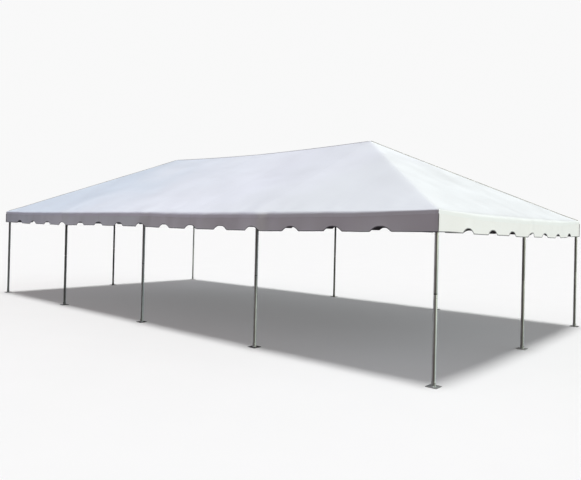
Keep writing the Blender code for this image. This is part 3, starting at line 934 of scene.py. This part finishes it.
# Fittings
def lock_pin(centre, axis, along, reach):
    """A pin through a socket and its tube, put in from below or from inside, where its round head carries a
    split ring. Its far end stays in the socket's wall, clear of the fabric."""
    radius, head_radius, head, ring_radius = 0.004, 0.0065, 0.005, 0.011
    flush = reach - 0.004
    profile = eased([(0, -flush), (radius, -flush), (radius, reach), (head_radius, reach),
                     (head_radius, reach + head), (0, reach + head)], 0.001)
    ring = centre + axis * (reach + head / 2) - np.array((0.0, 0.0, ring_radius))
    ring_axis = along if abs(axis[2]) > 0.5 else axis
    return [turned(profile, centre, axis, 20, 1), torus(ring, ring_axis, ring_radius, 0.0012, 1)]


def welded_socket(joint, direction):
    """A short tube with an eased mouth and an open bore, a bead of weld round its foot, and a lock pin near
    its mouth."""
    bore_end, weld_at, weld_thickness, pin_from_mouth = 0.09, 0.019, 0.0036, 0.035
    sizes = bpy.context.scene.marquee_frame
    outer, bore = sizes.socket_radius, sizes.bore_radius
    profile = [(0, 0), (outer, 0), (outer, SOCKET_REACH), (bore, SOCKET_REACH), (bore, bore_end),
               (0, bore_end)]
    aside = -joint * (1, 1, 0) if direction[2] < -0.99 else np.array((0.0, 0.0, -1.0))
    pin_axis = unit(aside - direction * (aside @ direction))
    pin = joint + direction * (SOCKET_REACH - pin_from_mouth)
    return [turned(eased(profile, 0.0012), joint, direction),
            torus(joint + direction * weld_at, direction, outer + 0.001, weld_thickness, 0, 48, 12),
            *lock_pin(pin, pin_axis, direction, outer + 0.002)]


def fittings():
    """A ball at each joint, rounded to a tenth of a millimetre, with a socket for each tube that ends there
    and one for the leg under the eave."""
    hub = bpy.context.scene.marquee_frame.hub_radius
    arc = np.linspace(0, math.pi, 25)
    ball = np.column_stack([hub * np.sin(arc), -hub * np.cos(arc)])
    ball[[0, -1], 0] = 0
    joints = frame_joints()
    for node, joint in joints.items():
        ends = [pair for pair in tube_ends().values() if node in pair]
        directions = [unit(joints[pair[1 - pair.index(node)]] - joint) for pair in ends]
        if not node.startswith("crown"):
            directions.append(np.array((0.0, 0.0, -1.0)))
        centre = np.round(joint, 4)
        surfaces = [turned(ball, centre, (0, 0, 1))]
        for direction in directions:
            surfaces += welded_socket(centre, direction)
        tent_piece(f"{node}_welded", surfaces, ["zinced_steel", "aluminium_tube"], "fitting", node)


# Legs
NECK_HALF = 0.03


def leg(node):
    """A base plate with its welded collar and set screw, a lower and an upper tube, and the neck and snap
    button of their slip joint."""
    bore, half_gap, neck = 0.020, 0.007, 0.024
    alu, dark, zinc = range(3)
    sizes = bpy.context.scene.marquee_frame
    plate, collar, joint = sizes.plate_thickness, sizes.collar_height, sizes.joint_height
    foot = node_middle(node) * (1, 1, 0)
    weld = [(0.0345, plate - 0.0004), (0.0335, plate + 0.0018), (0.0305, plate + 0.0045),
            (0.0285, plate + 0.006)]
    upright = (
        (rod(TUBE_RADIUS, plate, joint - half_gap, 0.001, (0, bore)), alu),
        # The neck takes the plate's dark steel: painted shade in the slip joint's gap.
        ([(neck, joint - NECK_HALF), (neck, joint + NECK_HALF)], dark),
        (rod(TUBE_RADIUS, joint + half_gap, LEG_TOP, 0.001, (bore, 0)), alu),
        (rod(0.029, plate, collar, 0.0012, (0.0255, 0.0256)), alu),
        (weld, alu),
    )
    surfaces = [turned(profile, foot, (0, 0, 1), slot=slot) for profile, slot in upright]
    surfaces.append(rounded_slab(foot, PLATE_SIDE, 0.009, 0.001, 0.0, plate, dark))
    screw = rod(0.0075, 0.02, 0.036, 0.001)
    button = rod(0.0045, 0.02, TUBE_RADIUS + 0.004, 0.0025)
    for profile, height, sides, slot in ((screw, collar - 0.014, 6, dark), (button, joint - 0.05, 20, zinc)):
        surfaces.append(turned(profile, foot + np.array((0, 0, height)), unit(foot), sides, slot))
    materials = ["aluminium_tube", "dark_plate", "zinced_steel"]
    leg_wear_and_shade(tent_piece(f"{node}_assembly", surfaces, materials, "tube", node), *TARNISH_AND_SHADE[node])


def leg_wear_and_shade(piece, tubes, plate):
    """Gives a leg's points their tarnish and painted shade: the tubes', the plate's, and at the slip joint's
    neck nearly the reverse of the tubes': dark as painted shade in the joint on a bright leg, bright on a
    dull one."""
    sizes = bpy.context.scene.marquee_frame
    places = np.empty(3 * len(piece.data.vertices))
    piece.data.vertices.foreach_get("co", places)
    height = places[2::3]
    from_joint = np.abs(height - sizes.joint_height)
    on_neck = (from_joint > 0.01) & (from_joint < NECK_HALF + 0.005)
    values = np.where(height > sizes.plate_thickness + 0.0001, tubes, plate)
    # Painted shade: the neck is dark on a bright leg.
    values = np.where(on_neck, max(0.0, 1 - 1.3 * tubes), values)
    piece.data.attributes.new("tarnish", "FLOAT", "POINT").data.foreach_set("value", values)


# Stage
CAMERA_PLACE = (9.218, -9.242, 1.878)
CAMERA_HEADING = 2.2812  # radians from +X, towards +Y
CAMERA_PITCH = 0.0050
CAMERA_ROLL = -0.0232
CAMERA_LENS = 34.633  # mm, on a 36 mm wide sensor
CAMERA_SHIFT = (-0.01319, -0.02652)

# Suns by name: where each comes from, its colour, its width in degrees, which softens the shadows, and
# whether it lights the floor alone (INCLUDE) or all but the floor (EXCLUDE)
SUNS = {
    "overhead_light": ((0.0, -0.05, 1.0), (0.835, 0.914, 1.0), 35, "EXCLUDE"),
    "key_light": ((1.0, 0.08, 0.35), (1.0, 1.0, 0.79), 12, "EXCLUDE"),
    "floor_light": ((0.0, 0.0, 1.0), (1.0, 1.0, 1.0), 14, "INCLUDE"),
    "floor_fill": ((0.0, 0.0, 1.0), (1.0, 1.0, 1.0), 14, "INCLUDE"),
}
# Broad soft lights by their setting: where each one's middle is, and the cosines where it begins and is full
SOFT_LIGHTS = {"right": ((0.8, 0.6, 0.0), 0.5, 0.95), "left": ((-0.88, -0.45, 0.1), 0.6, 0.95)}


def add_camera():
    """The camera looks along d. Its right r and down n are turned about d by the roll."""
    heading, pitch = CAMERA_HEADING, CAMERA_PITCH
    d = np.array((math.cos(pitch) * math.cos(heading), math.cos(pitch) * math.sin(heading), math.sin(pitch)))
    r = unit(np.cross(d, (0.0, 0.0, 1.0)))
    n = np.cross(d, r)
    c, s = math.cos(CAMERA_ROLL), math.sin(CAMERA_ROLL)
    right, down = c * r + s * n, c * n - s * r
    data = bpy.data.cameras.new("camera")
    data.lens = CAMERA_LENS
    data.sensor_width = 36
    data.shift_x, data.shift_y = CAMERA_SHIFT
    data.clip_end = 1000
    camera = bpy.data.objects.new("camera", data)
    turn = Matrix((right, -down, -d)).transposed().to_4x4()
    camera.matrix_world = Matrix.Translation(CAMERA_PLACE) @ turn
    bpy.context.scene.collection.objects.link(camera)
    bpy.context.scene.camera = camera


def add_sun(name, strength, floor):
    """A light from far away. The setting of the same name is its strength."""
    direction, colour, angle, link = SUNS[name]
    data = bpy.data.lights.new(name, "SUN")
    data.energy = strength
    data.color = colour
    data.angle = math.radians(angle)
    data.use_shadow = name != "floor_fill"
    lamp = bpy.data.objects.new(name, data)
    back = unit(np.asarray(direction, float))
    level, _ = across(back)
    lamp.matrix_world = Matrix((level, np.cross(back, level), back)).transposed().to_4x4()
    bpy.context.scene.collection.objects.link(lamp)
    receivers = bpy.data.collections.new(f"{name}_receivers")
    receivers.objects.link(floor)
    receivers.collection_objects[0].light_linking.link_state = link
    lamp.light_linking.receiver_collection = receivers


def add_floor(colour):
    """A plain pale floor that reaches the horizon. It gives no light back to the tent."""
    far, below = 300.0, 0.0004
    x, y = np.meshgrid((-far, far), (-far, far))
    points = np.stack([x, y, np.full_like(x, -below)], axis=-1)
    w = new_material("pale_floor", colour, 0.9)
    patches = w.spread(w.noise(w.place("Object"), 0.8, 3.0), 0.3, 0.7)
    blend = w.mix(patches, shade(colour, 0.995), shade(colour, 1.005))
    material = w.shader(Base_Color=blend, Specular_IOR_Level=0.0)
    floor = mesh_piece("floor", [gridded(points, points[..., :2])], [material])
    floor.visible_diffuse = False
    floor.visible_glossy = False
    return floor


def add_world(stage):
    """Weak light from all round with a broad soft light at the right and another at the left, and a plain
    backdrop where the camera sees past the floor."""
    world = bpy.data.worlds.new("studio")
    w = Wiring(world)
    w.tree.nodes.clear()
    direction = w.node("ShaderNodeTexCoord").outputs["Generated"]
    colour = (*stage.ambient, 1)
    for setting, (middle, start, end) in SOFT_LIGHTS.items():
        dot = w.node("ShaderNodeVectorMath", {0: direction, 1: middle}, operation="DOT_PRODUCT")
        share = w.spread(dot.outputs["Value"], start, end, ease="SMOOTHSTEP")
        colour = w.mix(share, colour, (*getattr(stage, setting), 1), "ADD")
    light = w.node("ShaderNodeBackground", {"Color": colour, "Strength": 1.0})
    plain = w.node("ShaderNodeBackground", {"Color": (1, 1, 1, 1), "Strength": stage.backdrop})
    seen = w.node("ShaderNodeLightPath").outputs["Is Camera Ray"]
    mixed = w.node("ShaderNodeMixShader", {0: seen, 1: light.outputs[0], 2: plain.outputs[0]})
    w.node("ShaderNodeOutputWorld", {"Surface": mixed.outputs[0]})
    bpy.context.scene.world = world


# Operators, one for each group of pieces
class MARQUEE_OT_stage(bpy.types.Operator):
    """Set the floor, lights, background and camera"""

    bl_idname = "marquee.stage"
    bl_label = "Stage"

    def execute(self, context):
        stage = context.scene.marquee_stage
        floor = add_floor(tuple(stage.floor_colour))
        for name in SUNS:
            add_sun(name, getattr(stage, name), floor)
        add_world(stage)
        add_camera()
        context.scene.view_settings.view_transform = "Standard"
        context.scene.view_settings.look = "None"
        return {"FINISHED"}


class MARQUEE_OT_roof(bpy.types.Operator):
    """Stretch the roof over the frame as one sheet, with its standing seam and patches"""

    bl_idname = "marquee.roof"
    bl_label = "Roof"

    def execute(self, context):
        roof()
        standing_seam()
        surfaces = [patch((x, 0.0), 0.17) for x in (-BAY, 0.0, BAY)]
        tent_piece("canopy_patches", surfaces, ["roof_vinyl"], "canopy_vinyl")
        return {"FINISHED"}


class MARQUEE_OT_valances(bpy.types.Operator):
    """Hang the four scalloped valances, bind their lower edges and tape their corners"""

    bl_idname = "marquee.valances"
    bl_label = "Valances"

    def execute(self, context):
        for side in SIDES:
            valance(side)
            binding(side)
            corner_tape(side)
        return {"FINISHED"}


class MARQUEE_OT_tubes(bpy.types.Operator):
    """Make the eave rails, rafters, hip rafters and ridge tubes"""

    bl_idname = "marquee.tubes"
    bl_label = "Tubes"

    def execute(self, context):
        frame_tubes()
        return {"FINISHED"}


class MARQUEE_OT_fittings(bpy.types.Operator):
    """Make the welded socket fittings with their lock pins"""

    bl_idname = "marquee.fittings"
    bl_label = "Fittings"

    def execute(self, context):
        fittings()
        return {"FINISHED"}


class MARQUEE_OT_legs(bpy.types.Operator):
    """Make the twelve legs with their base plates, collars and slip joints"""

    bl_idname = "marquee.legs"
    bl_label = "Legs"

    def execute(self, context):
        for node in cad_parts:
            if node.startswith("leg_"):
                leg(node)
        return {"FINISHED"}


class MARQUEE_PT_panel(bpy.types.Panel):
    """Lists the tent's settings and the steps that build it"""

    bl_idname = "MARQUEE_PT_panel"
    bl_label = "Marquee Tent"
    bl_space_type = "VIEW_3D"
    bl_region_type = "UI"
    bl_category = "Marquee"

    def draw(self, context):
        for group in GROUPS:
            settings = getattr(context.scene, group)
            column = self.layout.column()
            for name in settings.bl_rna.properties.keys():
                if name not in ("rna_type", "name"):
                    column.prop(settings, name)
        for operator in OPERATORS:
            self.layout.operator(operator.bl_idname)


GROUPS = {"marquee_canopy": CanopySettings, "marquee_frame": FrameSettings, "marquee_stage": StageSettings}
OPERATORS = (MARQUEE_OT_stage, MARQUEE_OT_roof, MARQUEE_OT_valances, MARQUEE_OT_tubes, MARQUEE_OT_fittings,
             MARQUEE_OT_legs)


def register():
    for cls in (*GROUPS.values(), *OPERATORS, MARQUEE_PT_panel):
        bpy.utils.register_class(cls)
    for name, group in GROUPS.items():
        setattr(bpy.types.Scene, name, PointerProperty(type=group))


def unregister():
    for name in GROUPS:
        delattr(bpy.types.Scene, name)
    for cls in (MARQUEE_PT_panel, *reversed(OPERATORS), *GROUPS.values()):
        bpy.utils.unregister_class(cls)


def main():
    register()
    bpy.ops.marquee.stage()
    bpy.ops.marquee.roof()
    bpy.ops.marquee.valances()
    bpy.ops.marquee.tubes()
    bpy.ops.marquee.fittings()
    bpy.ops.marquee.legs()


if __name__ == "__main__":
    main()
